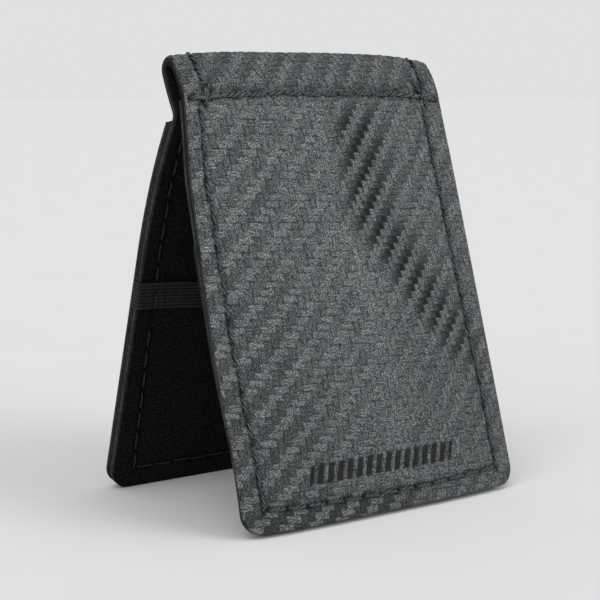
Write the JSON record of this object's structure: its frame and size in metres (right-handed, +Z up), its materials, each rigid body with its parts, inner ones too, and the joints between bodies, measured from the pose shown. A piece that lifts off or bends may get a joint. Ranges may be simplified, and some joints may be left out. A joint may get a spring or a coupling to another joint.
{
  "type": "wallet",
  "caption": "Slim bifold wallet standing open, with twill-embossed grip shell, hollow flexible spine, card pocket, rear pockets and an elastic note band.",
  "frame": {"origin": "middle of the bounding box bottom face, on the surface that the two free edges stand on", "axes": "+X along the fold, -Y towards the front half, +Z up to the spine"},
  "size_m": [0.0718, 0.054, 0.0937],
  "materials": {
    "grip_sheet": "matte, carbon-twill emboss",
    "lining_suede": "napped suede",
    "pocket_leather": "fine-grained, matte",
    "elastic_webbing": "ribbed",
    "thread": "twisted, semi-matte"
  },
  "bodies": {
    "front_half": {"front_shell": "grip_sheet", "front_lining": "lining_suede", "front_base_panel": "pocket_leather", "front_card_pocket": "pocket_leather", "front_outer_stitches": "thread", "front_pocket_stitches": "thread", "top_row_stitches": "thread", "left_backtack": "thread", "right_backtack": "thread"},
    "spine_strip_1": {"spine_shell_1": "grip_sheet", "spine_lining_1": "lining_suede", "spine_stitches_1": "thread"},
    "spine_strip_2": {"spine_shell_2": "grip_sheet", "spine_lining_2": "lining_suede", "spine_stitches_2": "thread"},
    "spine_strip_3": {"spine_shell_3": "grip_sheet", "spine_lining_3": "lining_suede", "spine_stitches_3": "thread"},
    "spine_strip_4": {"spine_shell_4": "grip_sheet", "spine_lining_4": "lining_suede", "spine_stitches_4": "thread"},
    "spine_strip_5": {"spine_shell_5": "grip_sheet", "spine_lining_5": "lining_suede", "spine_stitches_5": "thread"},
    "spine_strip_6": {"spine_shell_6": "grip_sheet", "spine_lining_6": "lining_suede", "spine_stitches_6": "thread"},
    "rear_half": {"rear_shell": "grip_sheet", "rear_lining": "lining_suede", "rear_upper_pocket": "pocket_leather", "rear_lower_pocket": "pocket_leather", "rear_inner_stitches": "thread", "rear_outer_stitches": "thread", "band_left_end": "elastic_webbing", "band_right_end": "elastic_webbing"},
    "cash_band": {"cash_band": "elastic_webbing"}
  },
  "joints": [
    {"name": "spine_bend_1", "type": "hinge", "parent": "front_half", "child": "spine_strip_1", "pos_m": [0, -0.00294, 0.08757], "axis": [1, 0, 0], "range_deg": [0, 12.8]},
    {"name": "spine_bend_2", "type": "hinge", "parent": "spine_strip_1", "child": "spine_strip_2", "pos_m": [0, -0.00062, 0.09142], "axis": [1, 0, 0], "range_deg": [0, 13.6]},
    {"name": "spine_bend_3", "type": "hinge", "parent": "spine_strip_2", "child": "spine_strip_3", "pos_m": [0, 0.00135, 0.09321], "axis": [1, 0, 0], "range_deg": [0, 32.1]},
    {"name": "spine_bend_4", "type": "hinge", "parent": "spine_strip_3", "child": "spine_strip_4", "pos_m": [0, 0.00302, 0.0933], "axis": [1, 0, 0], "range_deg": [0, 30.4]},
    {"name": "spine_bend_5", "type": "hinge", "parent": "spine_strip_4", "child": "spine_strip_5", "pos_m": [0, 0.00448, 0.09231], "axis": [1, 0, 0], "range_deg": [0, 31.2]},
    {"name": "spine_bend_6", "type": "hinge", "parent": "spine_strip_5", "child": "spine_strip_6", "pos_m": [0, 0.00502, 0.09063], "axis": [1, 0, 0], "range_deg": [0, 30.4]},
    {"name": "rear_fold", "type": "hinge", "parent": "spine_strip_6", "child": "rear_half", "pos_m": [0, -0.00022, 0.07942], "axis": [1, 0, 0], "range_deg": [-32, 0]},
    {"name": "band_lift", "type": "slide", "parent": "rear_half", "child": "cash_band", "axis": [0, -0.9699, -0.2436], "range_m": [0, 0.0025], "stiffness_N_per_m": 40, "springref_m": -0.0005}
  ]
}
